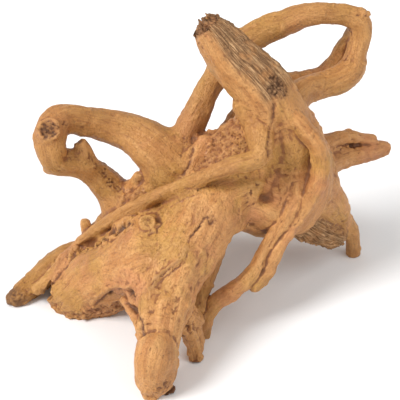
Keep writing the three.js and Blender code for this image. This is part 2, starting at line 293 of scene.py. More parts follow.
tornZones = [
    {"at": (72, 14, 248), "size": 15, "strength": 0.95},
    {"at": (-152, 11, 200), "size": 11.5, "strength": 0.95},
    {"at": (-107, 20, 151), "size": 5, "strength": 0.6},
    {"at": (-101, 23, 140), "size": 7, "strength": 0.62},
    {"at": (-94, 22, 130), "size": 6, "strength": 0.62},
    {"at": (-87, 20, 123), "size": 5, "strength": 0.5},
    {"at": (-114, 21, 162), "size": 4, "strength": 0.5},
    {"at": (-66, 19, 138), "size": 7, "strength": 0.45},
    {"at": (-12, -106, 43), "size": 8, "strength": 0.45},
    {"at": (-35, -162, 22), "size": 8, "strength": 0.7},
    {"at": (-41, -165, 17), "size": 7, "strength": 0.6},
    {"at": (-193, -18, 13), "size": 8, "strength": 0.7},
    {"at": (-185, -14, 14), "size": 6, "strength": 0.4},
    {"at": (-3, 36, 297), "size": 9, "strength": 0.55},
    {"at": (-4, 35, 279), "size": 6, "strength": 0.5},
    {"at": (161, 105, 122), "size": 6, "strength": 0.55},
    {"at": (-112, 21, 158), "size": 5, "strength": 0.35},
    {"at": (-133, 15, 164), "size": 5, "strength": 0.3},
    {"at": (-136, 24, 199), "size": 4, "strength": 0.5},
    {"at": (-140, 3, 158), "size": 7, "strength": 0.35},
    {"at": (-156, 5, 156), "size": 6, "strength": 0.3},
    {"at": (-55, -40, 126), "size": 6, "strength": 0.4},
    {"at": (-135, 3, 60), "size": 6, "strength": 0.45},
    {"at": (-140, -3, 54), "size": 5, "strength": 0.4},
    {"at": (-120, -11, 69), "size": 6, "strength": 0.35},
    {"at": (149, 112, 225), "size": 5, "strength": 0.4},
    {"at": (95, 31, 234), "size": 5, "strength": 0.35},
    {"at": (166, 126, 268), "size": 6, "strength": 0.35},
    {"at": (162, 99, 135), "size": 5, "strength": 0.35},
    {"at": (-58, -128, 71), "size": 6, "strength": 0.35},
    {"at": (-57, -136, 66), "size": 5, "strength": 0.45},
    {"at": (-135, -42, 12), "size": 7, "strength": 0.3},
    {"at": (-118, -44, 10), "size": 6, "strength": 0.25},
    {"at": (-18, 32, 175), "size": 5, "strength": 0.3},
    {"at": (-9, -21, 172), "size": 5, "strength": 0.35},
    {"at": (134, 29, 62), "size": 9, "strength": 0.4},
    {"at": (97, -23, 108), "size": 8, "strength": 0.35},
    {"at": (46, -23, 140), "size": 9, "strength": 0.3},
    {"at": (42, -10, 160), "size": 8, "strength": 0.25},
]
barkSide = {
    "towards": (0.72, -0.25, 0.62),  # the side of the trunk that kept its bark
    "starts": 0.3,  # how far round it goes; lower is further
    "until": 92.0,  # mm from the broken end
}
pittedLimbs = ["pittedSaddle", "plateLobe", "rightUnder", "crownLeft"]
goldenLimbs = {  # the darker, yellower roots
    "earLoop": 0.85, "earStub": 0.6, "archRoot": 0.75, "archInner": 0.4, "kneeRoot": 0.9, "leftLeg": 1.5,
    "rightPeg": 0.6, "frontWall": 0.9, "stub": 0.2, "strandLeft": 0.1, "strandRight": 0.1, "crownLeft": 0.3,
    "earProng": 0.4, "kneeTail": 0.5, "sideStub": 0.3, "backLeg": 0.5, "backLeft": 0.6,
}
# dents and knots, in millimetres: raise is out (+) or in (-), dark is how much darker the spot is painted, real stain
# on rotten and torn wood and painted shade where it sinks in
marks = [
    # holes by the trunk foot
    {"at": (54, -14, 152), "size": 2.6, "raise": -2, "dark": 0.2},
    {"at": (47, -20, 146), "size": 2.4, "raise": -2, "dark": 0.3},
    {"at": (42, -11, 159), "size": 2, "raise": -1.6, "dark": 0.2},
    # slit and pocket in the broad lobe, with the shade in them painted dark
    {"at": (-94, -55, 44), "size": 2.2, "raise": -3.5, "dark": 0.75, "along": (0.8, -0.3, 0.5), "long": 2.4},
    {"at": (-72, -86, 73), "size": 5.5, "raise": -6, "dark": 0.8},
    {"at": (-68, -91, 72), "size": 4, "raise": -4, "dark": 0.6},
    # hollow behind the small knuckles, with its shadow painted dark
    {"at": (-82, -19, 102), "size": 5, "raise": -4, "dark": 1},
    {"at": (-76, -21, 109), "size": 4, "raise": -4, "dark": 1},
    {"at": (-91, -13, 93), "size": 4.5, "raise": -3, "dark": 0.9},
    {"at": (-101, -16, 89), "size": 3.5, "raise": -2.5, "dark": 0.7},
    # cut end of the round stub
    {"at": (-55, -40, 126), "size": 5, "raise": 1.4, "dark": 0},
    {"at": (-56, -39, 127), "size": 2, "raise": -1.4, "dark": 0.3},
    # hollow rotten end of the left stub
    {"at": (-153, 12, 200), "size": 7, "raise": -2.5, "dark": 0.35},
    {"at": (-149, 10, 197), "size": 3.5, "raise": -1.5, "dark": 0.4},
    {"at": (-162, 20, 204), "size": 3, "raise": 1.4, "dark": 0},
    {"at": (-145, 19, 205), "size": 3, "raise": 1.2, "dark": 0},
    {"at": (-143, 8, 195), "size": 3, "raise": 1.2, "dark": 0},
    # spots on the arch
    {"at": (152, 125, 247), "size": 2.6, "raise": -1.6, "dark": 0.4},
    {"at": (147, 113, 224), "size": 2.6, "raise": -1.6, "dark": 0.4},
    {"at": (95, 31, 234), "size": 3.6, "raise": -2.4, "dark": 0.4},
    {"at": (133, 130, 277), "size": 3, "raise": 1.8, "dark": 0.1},
    {"at": (159, 125, 267), "size": 2.2, "raise": -1.2, "dark": 0.4},
    {"at": (35, 30, 285), "size": 2.4, "raise": 1.5, "dark": 0},
    {"at": (151, 110, 223), "size": 3.5, "raise": 1.6, "dark": 0},
    # moss in the fork of the front leg
    {"at": (9, -53, 135), "size": 4.6, "raise": -2.6, "dark": 0.45},
    {"at": (4, -51, 139), "size": 2.4, "raise": -1.5, "dark": 0.5},
    # lumps of the front leg
    {"at": (-33, -116, 88), "size": 6, "raise": 1.8, "dark": 0},
    {"at": (-22, -107, 91), "size": 5, "raise": 2, "dark": 0},
    {"at": (-26, -121, 80), "size": 4, "raise": -1.8, "dark": 0.1},
    {"at": (-15, -111, 78), "size": 4.5, "raise": 2, "dark": 0},
    {"at": (-51, -123, 80), "size": 5, "raise": -2, "dark": 0.1},
    {"at": (-41, -130, 79), "size": 4, "raise": 1.4, "dark": 0},
    {"at": (-10, -101, 54), "size": 5, "raise": 2.4, "dark": 0},
    {"at": (-4, -95, 51), "size": 4, "raise": 1.8, "dark": 0},
    {"at": (-15, -106, 47), "size": 4, "raise": -4, "dark": 0.35},
    {"at": (-9, -105, 39), "size": 3, "raise": -3, "dark": 0.3},
    {"at": (-20, -103, 30), "size": 3, "raise": -1.5, "dark": 0.2},
    {"at": (-53, -132, 72), "size": 4, "raise": -2, "dark": 0.2},
    {"at": (-17, -123, 67), "size": 3.5, "raise": 2.2, "dark": 0},
    # right branches
    {"at": (160, 102, 123), "size": 3, "raise": -2.5, "dark": 0.5},
    {"at": (148, 91, 127), "size": 3, "raise": -2, "dark": 0.5},
    {"at": (165, 104, 137), "size": 2.4, "raise": 1.2, "dark": 0.2},
    {"at": (133, 42, 154), "size": 2.6, "raise": -1.4, "dark": 0.4},
    # right lobe
    {"at": (150, 44, 64), "size": 3, "raise": -1.2, "dark": 0.2},
    {"at": (139, 33, 83), "size": 3, "raise": 1, "dark": 0},
]
# creases along paths, in millimetres: raise is out (+) or in (-); dark paints the shade in a groove, and on a raised
# lip it is the lip's own brown
creases = [
    # crack from the fork, with the shade inside it painted dark
    {"width": 1, "raise": -2.6, "dark": 1, "whole": 0.6, "path": ((2, -51, 140), (-3, -57, 133),
        (-12, -66, 127), (-16, -75, 121))},
    # torn lip below it, and the grooves under it with their shadow painted dark
    {"width": 2.6, "raise": 3, "dark": 0.45, "whole": 0.5, "path": ((-16, -75, 121),
        (-19, -82, 115), (-28, -88, 109), (-33, -90, 105), (-39, -92, 102), (-46, -96, 96),
        (-50, -101, 91))},
    {"width": 1.2, "raise": -2.8, "dark": 0.6, "whole": 0.4, "path": ((-19, -79, 119),
        (-24, -86, 112), (-33, -91, 105), (-43, -95, 99), (-49, -97, 93))},
    {"width": 1.1, "raise": -2.2, "dark": 0.45, "path": ((-15, -78, 117), (-18, -86, 111),
        (-27, -91, 106), (-38, -96, 100), (-46, -101, 93))},
    # folds of the broad root
    {"width": 4, "raise": -1, "dark": 0, "path": ((-7, -54, 136), (-27, -2, 84), (-44, -65, 117),
        (-62, -69, 109), (-82, -62, 93), (-100, -50, 72), (-118, -46, 56))},
    {"width": 3.5, "raise": 1, "dark": 0, "path": ((-30, -49, 130), (-51, -51, 121),
        (-72, -51, 110), (-90, -43, 93), (-108, -37, 78))},
    {"width": 2.6, "raise": 1.3, "dark": 0, "path": ((-26, -79, 118), (-34, -80, 113),
        (-42, -82, 108), (-48, -86, 103), (-55, -88, 97), (-61, -90, 86))},
    {"width": 1.2, "raise": -1, "dark": 0.15, "path": ((-32, -81, 114), (-39, -82, 109),
        (-45, -85, 105), (-51, -89, 101), (-56, -90, 93))},
    {"width": 1.2, "raise": -0.9, "dark": 0.1, "path": ((-40, -80, 111), (-46, -82, 107),
        (-52, -83, 101), (-58, -85, 96), (-63, -86, 89))},
    # rolled edge of the broad lobe, with painted shadow in the groove below it
    {"width": 2.6, "raise": 2.4, "dark": 0, "whole": 0.3, "path": ((-113, -46, 27),
        (-107, -53, 42), (-97, -55, 53), (-84, -67, 67), (-71, -85, 78))},
    {"width": 2.4, "raise": -2.4, "dark": 0.4, "whole": 0.3, "path": ((-111, -47, 20),
        (-104, -48, 32), (-94, -55, 47), (-82, -70, 62))},
    # fold between trunk and thin root
    {"width": 2.6, "raise": -2.6, "dark": 0.3, "whole": 0.35, "path": ((68, 4, 232), (68, 2, 224),
        (67, -1, 216), (65, -6, 208), (64, -16, 203), (64, -21, 198), (65, -22, 191))},
    # folds in the hollow side
    {"width": 3.2, "raise": -1, "dark": 0, "whole": 0.3, "path": ((76, 3, 210), (78, 3, 196),
        (80, 2, 182), (76, 3, 164), (73, 0, 148), (66, -7, 139), (59, -19, 132))},
    {"width": 3.2, "raise": -1.2, "dark": 0.05, "whole": 0.3, "path": ((84, 3, 203), (87, 1, 188),
        (90, -1, 172), (86, -2, 155), (83, -6, 140), (78, -12, 131), (73, -21, 124))},
    {"width": 2.8, "raise": -1, "dark": 0, "whole": 0.3, "path": ((70, 0, 166), (68, 0, 154),
        (65, -7, 147), (59, -13, 139), (52, -23, 134))},
    # fold at the end of the left leg
    {"width": 2.2, "raise": -3, "dark": 0.5, "path": ((-132, 42, 33), (-133, -3, 56),
        (-138, -13, 53), (-147, -12, 41), (-155, -17, 32), (-161, -15, 23), (-166, -18, 18))},
    # split between the thin roots
    {"width": 1.5, "raise": -1.6, "dark": 0.15, "path": ((81, -22, 117), (75, -25, 107),
        (70, -30, 97), (66, -33, 88), (62, -39, 81), (61, -42, 75), (60, -45, 68))},
    {"width": 1.8, "raise": -1.4, "dark": 0.12, "path": ((95, 1, 183), (94, 0, 173), (92, 0, 163),
        (90, -2, 154), (89, -4, 146))},
    # wrinkles of the front leg
    {"width": 2.2, "raise": -1.3, "dark": 0.1, "path": ((-37, -106, 93), (-31, -113, 90),
        (-33, -119, 84), (-41, -125, 83))},
    # side wall of the front leg
    {"width": 2.6, "raise": 1.6, "dark": 0, "path": ((-14, -76, 118), (-13, -84, 113),
        (-12, -88, 106), (-11, -92, 96), (-10, -93, 85), (-8, -99, 77), (-6, -89, 57))},
    {"width": 2.8, "raise": -1.8, "dark": 0.2, "path": ((-8, -70, 123), (-6, -76, 116),
        (-4, -82, 108), (-4, -85, 97), (-4, -86, 84), (-3, -85, 71), (-3, -72, 48))},
    {"width": 2, "raise": -1.2, "dark": 0.12, "path": ((3, -63, 125), (4, -68, 117), (5, -72, 108),
        (3, -77, 99), (2, -81, 90))},
    # crease round the ball
    {"width": 2.6, "raise": -1.6, "dark": 0.06, "path": ((-64, -137, 55), (-57, -138, 66),
        (-47, -139, 70), (-34, -140, 69), (-25, -137, 58), (-21, -141, 47))},
    # torn lip at the left of the front leg
    {"width": 2, "raise": -2.8, "dark": 0.8, "whole": 0.4, "path": ((-76, -83, 59), (-66, -96, 60),
        (-59, -126, 72), (-59, -131, 68), (-58, -137, 64))},
    {"width": 2, "raise": 2, "dark": 0.1, "path": ((-79, -76, 58), (-70, -91, 63), (-62, -111, 71),
        (-55, -129, 72))},
    # crease round the round stub, its shade painted dark
    {"width": 2, "raise": -2.4, "dark": 0.5, "whole": 0.3, "path": ((-47, -23, 124),
        (-42, -41, 126), (-46, -51, 122), (-54, -52, 120))},
    # upper edge of the pitted saddle
    {"width": 2.4, "raise": 1.6, "dark": 0, "path": ((-7, 39, 175), (5, 31, 178), (12, 35, 181),
        (19, 33, 189), (26, 35, 193), (32, 20, 208))},
    {"width": 1.8, "raise": -2, "dark": 0.5, "path": ((-11, 36, 175), (-11, 28, 171),
        (-10, 21, 168), (-12, 14, 164), (-14, 9, 159), (-20, 5, 152))},
    {"width": 1.2, "raise": -1, "dark": 0.2, "path": ((-19, 34, 176), (-20, 23, 169),
        (-23, 12, 164))},
    # underside edge of the crown
    {"width": 2.4, "raise": -1.6, "dark": 0.3, "path": ((47, -23, 110), (53, -19, 103),
        (60, -17, 96), (69, -26, 103))},
    # knee crease
    {"width": 2.2, "raise": -1.4, "dark": 0.1, "path": ((61, -20, 201), (65, -22, 193),
        (61, -28, 187))},
    # branch split
    {"width": 1.8, "raise": -2.6, "dark": 0.5, "path": ((135, 75, 139), (153, 95, 126),
        (161, 102, 123), (169, 105, 122))},
    # torn edge along the left loop
    {"width": 2.4, "raise": -1.4, "dark": 0.3, "path": ((-114, 21, 164), (-108, 22, 154),
        (-101, 25, 141), (-93, 24, 131), (-86, 19, 122))},
    {"width": 2, "raise": 1.6, "dark": 0, "path": ((-111, 26, 165), (-105, 31, 151),
        (-96, 29, 141), (-87, 28, 129))},
]
darkEnds = [
    {"limb": "earStub", "size": 11, "dark": 0.75},
    {"limb": "leftLeg", "size": 18, "dark": 0.75},
    {"limb": "frontStub", "size": 14, "dark": 0.85},
]

sculpt = {
    "sampleStep": 3.0,  # mm between the points that each route is followed by
    "reach": 16.0,  # mm around a limb in which it is felt
    "firstVoxel": 2.2,  # mm, for growing the limbs together
    "lastVoxel": 1.25,  # mm, for the fine surface
    "mostTriangles": 194000,
    "swell": 2.1,  # mm, slow swellings along a limb
    "knots": 1.8,  # mm, scattered small knots
    "flutes": 1.1,  # mm, long shallow furrows
    "fibres": 0.4,  # mm, fine raised grain
    "barkDepth": 1.4,  # mm, ridges of the weathered bark
    "pitDepth": 1.2,  # mm
    "tornRelief": 2.6,  # mm, where the wood is torn
    "ragWander": 2.6,  # mm, how far a mark's outline wanders
    "raggedEnd": 11.0,  # mm, how uneven the broken trunk's end is
}


def followRoute(name, limb):
    # a centripetal curve through the route, with frames that don't twist
    route = np.array(limb["route"]).reshape(-1, 4).astype(float)
    padded = np.vstack([2 * route[0] - route[1], route, 2 * route[-1] - route[-2]])
    dense = []
    for i in range(1, len(padded) - 2):
        before, start, end, after = padded[i - 1], padded[i], padded[i + 1], padded[i + 2]
        gaps = [max(1e-3, np.linalg.norm(b[:3] - a[:3]) ** 0.5)
                for a, b in ((before, start), (start, end), (end, after))]
        leave = (start - before) / gaps[0] - (end - before) / (gaps[0] + gaps[1]) + (end - start) / gaps[1]
        arrive = (end - start) / gaps[1] - (after - start) / (gaps[1] + gaps[2]) + (after - end) / gaps[2]
        leave, arrive = leave * gaps[1], arrive * gaps[1]
        share = np.linspace(0, 1, 24, endpoint=False)[:, None]
        dense.append((2 * share ** 3 - 3 * share ** 2 + 1) * start + (share ** 3 - 2 * share ** 2 + share) * leave
                     + (3 * share ** 2 - 2 * share ** 3) * end + (share ** 3 - share ** 2) * arrive)
    dense = np.vstack(dense + [route[-1:]])
    run = np.concatenate([[0], np.cumsum(np.linalg.norm(np.diff(dense[:, :3], axis=0), axis=1))])
    count = max(4, int(run[-1] / sculpt["sampleStep"]) + 1)
    along = np.linspace(0, run[-1], count)
    points = np.stack([np.interp(along, run, dense[:, k]) for k in range(4)], 1)
    centres, radii = points[:, :3], np.maximum(points[:, 3], 1.5)
    tangents = np.gradient(centres, along, axis=0)
    tangents /= np.linalg.norm(tangents, axis=1)[:, None]
    side = np.cross(tangents[0], (0.3, 0.2, 0.9))
    sides = []
    for tangent in tangents:
        side = side - tangent * side.dot(tangent)
        side = side / np.linalg.norm(side)
        sides.append(side)
    sides = np.array(sides)
    return {
        "name": name, "centres": centres, "radii": radii, "along": along, "tangents": tangents,
        "sides": sides, "ups": np.cross(tangents, sides), "slope": np.gradient(radii, along),
        "blend": limb["blend"], "rough": limb["rough"], "cut": limb.get("cut", False),
        "flatten": np.array(limb["flatten"]) / np.linalg.norm(limb["flatten"]) if "flatten" in limb else None,
        "flatTo": limb.get("flatTo", 1.0), "carve": limb.get("carve", False),
    }


grown = [followRoute(name, limb) for name, limb in limbs.items()]


def measureFrom(limb, points):
    # distance to the limb's surface, the way out, and where along and across it each point is
    centres = limb["centres"].astype(np.float32)
    spread = (centres * centres).sum(1) - 2 * points.astype(np.float32) @ centres.T
    nearest = np.argmin(spread, axis=1)
    last = len(limb["centres"]) - 1
    offset = points - limb["centres"][nearest]
    tangent = limb["tangents"][nearest]
    step = (offset * tangent).sum(1)
    reach = sculpt["sampleStep"] * 0.75
    inner = np.clip(step, np.where(nearest == 0, 0, -reach), np.where(nearest == last, 0, reach))
    over = np.where(((nearest == last) & (step > 0)) | ((nearest == 0) & (step < 0)), step, 0.0)
    perp = offset - step[:, None] * tangent
    across = (perp * limb["sides"][nearest]).sum(1)
    upward = (perp * limb["ups"][nearest]).sum(1)
    along = limb["along"][nearest] + inner + over
    radius = limb["radii"][nearest] + inner * limb["slope"][nearest]
    wide = np.linalg.norm(perp, axis=1) + 1e-6
    reachOut = wide
    if limb["flatten"] is not None:
        squeezed = (perp @ limb["flatten"])[:, None] * limb["flatten"]
        reachOut = np.linalg.norm(perp + (1 / limb["flatTo"] - 1) * squeezed, axis=1) + 1e-6
    outward = perp / wide[:, None]
    shrink = wide / reachOut
    if limb["cut"]:
        atEnd = nearest == (last if limb["cut"] == "end" else 0)
        way = 1.0 if limb["cut"] == "end" else -1.0
        beyond = np.where(atEnd, way * step, -1e3)
        if limb["name"] == "stub":
            beyond = beyond - sculpt["raggedEnd"] * raggedness(across, upward)
        sideways = (reachOut - radius) * shrink
        cap = beyond > sideways
        distance = np.where(cap, beyond, sideways)
        outward = np.where(cap[:, None], way * tangent, outward)
        rooted = ~atEnd & (over != 0)
        distance = np.where(rooted, np.hypot(reachOut, over) - radius, distance)
    else:
        whole = np.hypot(reachOut, over * 1.15)
        distance = (whole - radius) * shrink
        outward = perp + over[:, None] * tangent
        outward /= np.linalg.norm(outward, axis=1)[:, None] + 1e-9
    even = limb["radii"].mean() / np.maximum(wide, 0.5 * radius)  # so that grain follows a taper
    return distance, outward, along, across * even, upward * even


def raggedness(across, upward):
    # splinters of the broken end, in shares of its unevenness
    places = np.stack([across / 4.2, upward / 6.5, np.zeros(len(across))], 1)
    return gradientNoise(places, 41) + 0.6 * gradientNoise(places * 2.3, 42) - 0.15


def growTogether(points):
    # signed distance to the whole root, the way out, and each point's two nearest limbs
    count = len(points)
    distance = np.full(count, 60.0)
    outward = np.zeros((count, 3))
    nearest = np.full((count, 2), -1)
    closest = np.full((count, 2), 1e3)
    coords = np.zeros((count, 2, 3))
    for order, limb in enumerate(grown):
        margin = limb["radii"].max() + sculpt["reach"]
        low, high = limb["centres"].min(0) - margin, limb["centres"].max(0) + margin
        here = np.where(((points > low) & (points < high)).all(1))[0]
        if not len(here):
            continue
        reach, way, along, across, upward = measureFrom(limb, points[here])
        known = distance[here]
        blend = max(limb["blend"], 0.5)
        if limb["carve"]:
            mix = np.clip(blend - np.abs(known + reach), 0, None) / blend
            deeper = -reach > known
            mine = np.where(deeper, 1 - mix / 2, mix / 2)[:, None]
            outward[here] = outward[here] * (1 - mine) - way * mine
            distance[here] = np.maximum(known, -reach) + mix * mix * blend / 4
            continue
        mix = np.clip(blend - np.abs(known - reach), 0, None) / blend
        closer = reach < known
        joined = np.minimum(known, reach) - mix * mix * blend / 4
        mine = np.where(closer, 1 - mix / 2, mix / 2)[:, None]
        outward[here] = outward[here] * (1 - mine) + way * mine
        distance[here] = joined
        place = np.stack([along, across, upward], 1)
        first = reach < closest[here, 0]
        second = ~first & (reach < closest[here, 1])
        pushed = here[first]
        closest[pushed, 1], nearest[pushed, 1] = closest[pushed, 0], nearest[pushed, 0]
        coords[pushed, 1] = coords[pushed, 0]
        closest[pushed, 0], nearest[pushed, 0] = reach[first], order
        coords[pushed, 0] = place[first]
        kept = here[second]
        closest[kept, 1], nearest[kept, 1], coords[kept, 1] = reach[second], order, place[second]
    outward /= np.linalg.norm(outward, axis=1)[:, None] + 1e-9
    return distance, outward, nearest, closest, coords


def readPoints(piece):
    flat = np.empty(len(piece.data.vertices) * 3, np.float32)
    piece.data.vertices.foreach_get("co", flat)
    return flat.reshape(-1, 3).astype(float) / mm


def writePoints(piece, points):
    piece.data.vertices.foreach_set("co", (points * mm).astype(np.float32).ravel())
    piece.data.update()


def readNormals(piece):
    flat = np.empty(len(piece.data.vertices) * 3, np.float32)
    piece.data.vertices.foreach_get("normal", flat)
    return flat.reshape(-1, 3).astype(float)


def neighbours(piece):
    pairs = np.empty(len(piece.data.edges) * 2, np.int64)
    piece.data.edges.foreach_get("vertices", pairs)
    return pairs.reshape(-1, 2)


def relax(values, pairs, rounds):
    # each value drifts to the mean of its neighbours
    count = len(values)
    flat = values.reshape(count, -1)
    links = np.bincount(pairs.ravel(), minlength=count).astype(float)[:, None]
    for _ in range(rounds):
        total = np.stack([np.bincount(pairs[:, 0], flat[pairs[:, 1], k], count)
                          + np.bincount(pairs[:, 1], flat[pairs[:, 0], k], count)
                          for k in range(flat.shape[1])], 1)
        flat = 0.5 * flat + 0.5 * total / np.maximum(links, 1)
    return flat.reshape(values.shape)


def remesh(piece, size):
    makeActive(piece)
    modifier = piece.modifiers.new("remesh", "REMESH")
    modifier.mode = "VOXEL"
    modifier.voxel_size = size * mm
    modifier.adaptivity = 0
    bpy.ops.object.modifier_apply(modifier=modifier.name)


def settle(piece, rounds):
    # draws the surface on to the grown-together limbs
    points = readPoints(piece)
    for _ in range(rounds):
        distance, outward, *_rest = growTogether(points)
        points -= np.clip(distance, -2.5, 2.5)[:, None] * outward
    writePoints(piece, points)


def alongGrain(nearest, closest, coords, stretch, width, seed):
    # noise that runs along the limbs, mixed where two limbs meet
    nearness = np.exp(-np.clip(closest - closest[:, :1], 0, 60) / 4.0)
    nearness[nearest < 0] = 0
    nearness /= nearness.sum(1)[:, None]
    total = np.zeros(len(nearest))
    for k in (0, 1):
        use = nearness[:, k] > 0.02
        places = coords[use, k] / (stretch, width, width) + nearest[use, k, None] * (17.3, 5.1, 9.7)
        total[use] += nearness[use, k] * gradientNoise(places, seed)
    return total


def nearTo(points, places, margin):
    # the points in a box round some places
    places = np.array(places, float)
    inside = (points > places.min(0) - margin) & (points < places.max(0) + margin)
    return np.where(inside.all(1))[0]


slotBalls = [  # m
    {"at": (-0.019, 0.042, 0.127), "radius": 0.018},
    {"at": (-0.023, 0.055, 0.118), "radius": 0.0165},
]


def makeRoot():
    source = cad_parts["dry_root"]
    piece = bpy.data.objects.new("dryRootWood", source.data.copy())
    bpy.context.scene.collection.objects.link(piece)
    makeActive(piece)
    bpy.ops.object.mode_set(mode="EDIT")
    bpy.ops.mesh.select_all(action="SELECT")
    bpy.ops.mesh.remove_doubles(threshold=0.00002)
    for ball in slotBalls:  # they close the slot over the rear left leg
        bpy.ops.mesh.primitive_uv_sphere_add(segments=24, ring_count=16, radius=ball["radius"], location=ball["at"])
    bpy.ops.object.mode_set(mode="OBJECT")
    remesh(piece, sculpt["firstVoxel"])
    settle(piece, 6)
    remesh(piece, sculpt["lastVoxel"])
    settle(piece, 2)
    print("limbs grown together:", len(piece.data.vertices), "points")
    return piece


def gnarl(piece):
    # raises swellings, furrows, grain, bark and pits, and notes where each shows for the material
    points = readPoints(piece)
    distance, outward, nearest, closest, coords = growTogether(points)
    pairs = neighbours(piece)
    normals = readNormals(piece)
    rough = np.array([limb["rough"] for limb in grown])[nearest[:, 0]]
    names = [limb["name"] for limb in grown]
    radius = np.array([limb["radii"].mean() for limb in grown])[nearest[:, 0]]
    height = sculpt["swell"] * np.clip(radius / 16, 0.4, 1.3) * alongGrain(nearest, closest, coords, 34, 17, 3)
    height += 0.7 * sculpt["swell"] * rough * layeredNoise(points / 12, 5, 2)
    height += sculpt["knots"] * softStep(0.3, 0.75, gradientNoise(points / 8.5, 9)) * rough
    height += sculpt["flutes"] * rough * alongGrain(nearest, closest, coords, 46, 5.5, 11)
    height += sculpt["fibres"] * rough * alongGrain(nearest, closest, coords, 16, 1.9, 23)
    along = coords[:, 0, 0]
    onStub = nearest[:, 0] == names.index("stub")
    facing = normals @ (np.array(barkSide["towards"]) / np.linalg.norm(barkSide["towards"]))
    edge = 0.12 * alongGrain(nearest, closest, coords, 18, 6, 31)
    bark = softStep(barkSide["starts"], barkSide["starts"] + 0.18, facing + edge) * onStub
    bark *= softStep(barkSide["until"] + 10, barkSide["until"] - 6, along)
    endOfStub = onStub * softStep(5, 0, along)
    under = nearest[:, 0] == names.index("rightUnder")
    frayed = under * softStep(0.1, 0.5, -normals[:, 2] * 0.6 - normals[:, 1] * 0.8)
    fibrous = np.clip(bark + frayed, 0, 1)
    fibrous = relax(fibrous, pairs, 4)
    ridges = 0.7 - 1.4 * np.abs(alongGrain(nearest, closest, coords, 24, 2.1, 51))
    ridges += 0.6 * (1 - 2 * np.abs(alongGrain(nearest, closest, coords, 15, 1.2, 52)))
    ridges += 0.8 * alongGrain(nearest, closest, coords, 7, 2.4, 53)
    height += fibrous * sculpt["barkDepth"] * (ridges - 0.6)
    pitted = relax((np.isin(nearest[:, 0], [names.index(n) for n in pittedLimbs])).astype(float), pairs, 8)
    dimples = softStep(0.25, 0.6, layeredNoise(points / 2.7, 61, 2))
    height -= sculpt["pitDepth"] * dimples * (0.03 + 0.97 * pitted)
    height += 1.5 * pitted * layeredNoise(points / 7, 65, 2)
    torn = np.zeros(len(points))
    for zone in tornZones:
        here = nearTo(points, [zone["at"]], zone["size"] * 2)
        away = np.linalg.norm(points[here] - np.array(zone["at"], float), axis=1)
        away += 0.35 * zone["size"] * layeredNoise(points[here] / (0.6 * zone["size"]), 97, 2)
        torn[here] = np.maximum(torn[here], zone["strength"] * softStep(zone["size"], zone["size"] * 0.6, away))
    splinters = layeredNoise(points / 3.2, 99, 2)
    height += sculpt["tornRelief"] * torn * (splinters - 0.15)
    # how much darker each point is painted: rot and torn wood, and painted shade in dents, slits and creases
    dark = np.zeros(len(points))
    warped = points + sculpt["ragWander"] * np.stack([layeredNoise(points / 4.5, 91 + 3 * k, 2) for k in range(3)], 1)
    for mark in marks:
        size = mark.get("size", 4)
        here = nearTo(points, [mark["at"]], size * 3 * mark.get("long", 1) + 4)
        away = (warped[here] - np.array(mark["at"], float)) / size
        if "along" in mark:
            line = np.array(mark["along"], float)
            line /= np.linalg.norm(line)
            away = away - (1 - 1 / mark["long"]) * (away @ line)[:, None] * line
        near = np.exp(-(away * away).sum(1) * 1.4)
        height[here] += mark["raise"] * near
        dark[here] = np.maximum(dark[here], mark["dark"] * np.clip(near * 1.3, 0, 1))
    for line in creases:
        path = np.array(line["path"], float)
        here = nearTo(points, path, line["width"] * 3 + 4)
        spot = points[here] + 0.35 * (warped[here] - points[here])
        gap = np.full(len(here), 1e3)
        for start, end in zip(path[:-1], path[1:]):
            run = end - start
            share = np.clip(((spot - start) @ run) / run.dot(run), 0, 1)
            gap = np.minimum(gap, np.linalg.norm(spot - start - share[:, None] * run, axis=1))
        fade = 0.55 + 0.45 * gradientNoise(points[here] / 9, 77) + line.get("whole", 0)
        near = np.exp(-(gap / line["width"]) ** 2) * np.clip(fade, 0.1, 1)
        height[here] += line["raise"] * near
        # painted shade in the grooves; on raised lips it is their own stain
        dark[here] = np.maximum(dark[here], line["dark"] * near)
    points += height[:, None] * normals
    points[:, 2] = np.maximum(points[:, 2], 0)
    writePoints(piece, points)
    # how far each point sinks below its neighbours: the material paints shade into the hollows and highlight on the
    # ridges from it
    smooth = relax(points, pairs, 10)
    hollow = ((smooth - points) * readNormals(piece)).sum(1)
    for limb in darkEnds:
        at = grown[names.index(limb["limb"])]
        away = np.linalg.norm(points - at["centres"][-1], axis=1)
        near = softStep(limb["size"], limb["size"] * 0.55, away + 4 * layeredNoise(points / 6, 81, 2))
        near *= 0.45 + 0.55 * softStep(0.3, -0.3, splinters)
        dark = np.maximum(dark, limb["dark"] * near)
    dark = np.maximum(dark, 0.75 * endOfStub * softStep(-0.5, 0.4, splinters + 0.2))
    dark = np.maximum(dark, 0.85 * torn ** 1.7 * (0.35 + 0.65 * softStep(0.2, -0.35, splinters)))
    store(piece, "fibrous", fibrous)
    store(piece, "pitted", pitted)
    golden = np.array([goldenLimbs.get(name, 0.0) for name in names])[nearest[:, 0]]
    store(piece, "golden", relax(golden, pairs, 14))
    store(piece, "dark", np.clip(dark, 0, 1))
    changes = nearest[pairs[:, 0], 0] != nearest[pairs[:, 1], 0]
    seam = np.bincount(pairs[changes].ravel(), minlength=len(points)) > 0
    store(piece, "seam", np.clip(1.6 * relax(seam.astype(float), pairs, 2), 0, 1))
    store(piece, "hollow", np.clip(0.5 + hollow * 0.9, 0, 1))
    grainPlaces = coords[:, 0] * mm + nearest[:, :1] * (0.137, 0.071, 0.053)
    attribute = piece.data.attributes.new("grainPlace", "FLOAT_VECTOR", "POINT")
    attribute.data.foreach_set("vector", grainPlaces.astype(np.float32).ravel())
    print("surface gnarled")


def store(piece, name, values):
    attribute = piece.data.attributes.new(name, "FLOAT", "POINT")
    attribute.data.foreach_set("value", values.astype(np.float32))


